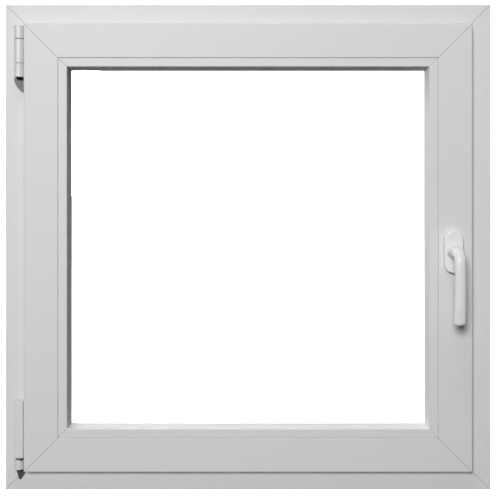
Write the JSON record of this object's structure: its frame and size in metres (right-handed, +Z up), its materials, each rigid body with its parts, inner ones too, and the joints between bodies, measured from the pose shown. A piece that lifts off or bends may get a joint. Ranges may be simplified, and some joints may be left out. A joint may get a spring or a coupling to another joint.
{
  "type": "casement window",
  "caption": "Square white tilt-and-turn casement window: a welded outer frame with an inward opening glazed sash, hinged on the left, and a lever handle on the right.",
  "frame": {"origin": "centre of the outer frame's bottom face, in the middle of its depth", "axes": "+X to the right seen from the room, +Y out towards the street, +Z up"},
  "size_m": [0.8, 0.149, 0.8],
  "materials": {
    "white_pvc": "satin white extruded plastic",
    "galvanised_steel": "zinc plated",
    "dark_steel": "dark passivated",
    "hardware_steel": "zinc plated",
    "seal_rubber": "soft matt",
    "glazing_seal": "soft light grey",
    "cover_plastic": "moulded white",
    "handle_coating": "white powder coat",
    "zinc_casting": "as cast",
    "nylon": "moulded",
    "pane_glass": "float glass",
    "spacer_aluminium": "mill",
    "edge_seal": "matt"
  },
  "bodies": {
    "frame": {"frame_left_jamb": "white_pvc", "frame_right_jamb": "white_pvc", "frame_head": "white_pvc", "frame_sill": "white_pvc", "frame_reinforcements": "galvanised_steel", "frame_gasket": "seal_rubber", "drain_caps": "cover_plastic", "striker_plates": "galvanised_steel", "striker_screws": "hardware_steel", "stay_bearing_bracket": "dark_steel", "stay_bearing_cover": "cover_plastic", "stay_pin": "hardware_steel", "corner_bearing_bracket": "dark_steel", "corner_bearing_cover": "cover_plastic", "bearing_screws": "hardware_steel"},
    "corner_pin": {"corner_pin": "hardware_steel"},
    "sash": {"sash_left_stile": "white_pvc", "sash_right_stile": "white_pvc", "sash_top_rail": "white_pvc", "sash_bottom_rail": "white_pvc", "sash_reinforcements": "galvanised_steel", "sash_gasket": "seal_rubber", "glazing_bead_left": "white_pvc", "glazing_bead_right": "white_pvc", "glazing_bead_top": "white_pvc", "glazing_bead_bottom": "white_pvc", "outer_glazing_gasket": "glazing_seal", "inner_glazing_gasket": "glazing_seal", "outer_pane": "pane_glass", "inner_pane": "pane_glass", "spacer_bar": "spacer_aluminium", "edge_sealant": "edge_seal", "glazing_packers": "nylon", "corner_band": "galvanised_steel", "corner_band_cover": "cover_plastic", "corner_band_screws": "hardware_steel", "stay_guide_pin": "hardware_steel", "rosette_base": "zinc_casting", "rosette_cover": "cover_plastic", "handle_screws": "hardware_steel", "gearbox_case": "zinc_casting", "side_faceplate": "galvanised_steel", "top_faceplate": "galvanised_steel", "bottom_faceplate": "galvanised_steel", "corner_drives": "galvanised_steel", "faceplate_screws": "hardware_steel"},
    "handle": {"handle_lever": "handle_coating", "spindle": "galvanised_steel", "pinion": "zinc_casting"},
    "side_rod": {"side_drive_rod": "galvanised_steel", "side_cams": "hardware_steel"},
    "top_rod": {"top_drive_rod": "galvanised_steel", "top_cams": "hardware_steel"},
    "bottom_rod": {"bottom_drive_rod": "galvanised_steel", "bottom_cams": "hardware_steel"},
    "stay_bush": {"stay_bush": "nylon"},
    "stay_arm": {"stay_arm": "galvanised_steel", "stay_knuckle_cover": "cover_plastic"}
  },
  "joints": [
    {"name": "sash_tilt", "type": "hinge", "parent": "frame", "child": "corner_pin", "pos_m": [-0.3744, -0.046, 0.044], "axis": [1, 0, 0], "range_deg": [0, 8]},
    {"name": "sash_turn", "type": "hinge", "parent": "corner_pin", "child": "sash", "pos_m": [-0.3744, -0.046, 0.1], "axis": [0, 0, -1], "range_deg": [0, 100]},
    {"name": "handle_turn", "type": "hinge", "parent": "sash", "child": "handle", "pos_m": [0.333, -0.06, 0.394], "axis": [0, 1, 0], "range_deg": [0, 180]},
    {"name": "side_rod_slide", "type": "slide", "parent": "sash", "child": "side_rod", "axis": [0, 0, -1], "range_m": [0, 0.02357]},
    {"name": "top_rod_slide", "type": "slide", "parent": "sash", "child": "top_rod", "axis": [1, 0, 0], "range_m": [0, 0.02357]},
    {"name": "bottom_rod_slide", "type": "slide", "parent": "sash", "child": "bottom_rod", "axis": [-1, 0, 0], "range_m": [0, 0.02357]},
    {"name": "stay_swing", "type": "hinge", "parent": "frame", "child": "stay_bush", "pos_m": [-0.3744, -0.046, 0.75], "axis": [0, 0, -1], "range_deg": [0, 100]},
    {"name": "stay_reach", "type": "hinge", "parent": "stay_bush", "child": "stay_arm", "pos_m": [-0.3744, -0.046, 0.75], "axis": [0, 0, -1], "range_deg": [0, 14.8]}
  ],
  "couplings": [
    {"joint": "side_rod_slide", "follows": "handle_turn", "m_per_rad": 0.0075},
    {"joint": "top_rod_slide", "follows": "handle_turn", "m_per_rad": 0.0075},
    {"joint": "bottom_rod_slide", "follows": "handle_turn", "m_per_rad": 0.0075},
    {"joint": "stay_swing", "follows": "sash_turn", "ratio": 1},
    {"joint": "stay_reach", "follows": "sash_tilt", "ratio": 1.83}
  ]
}
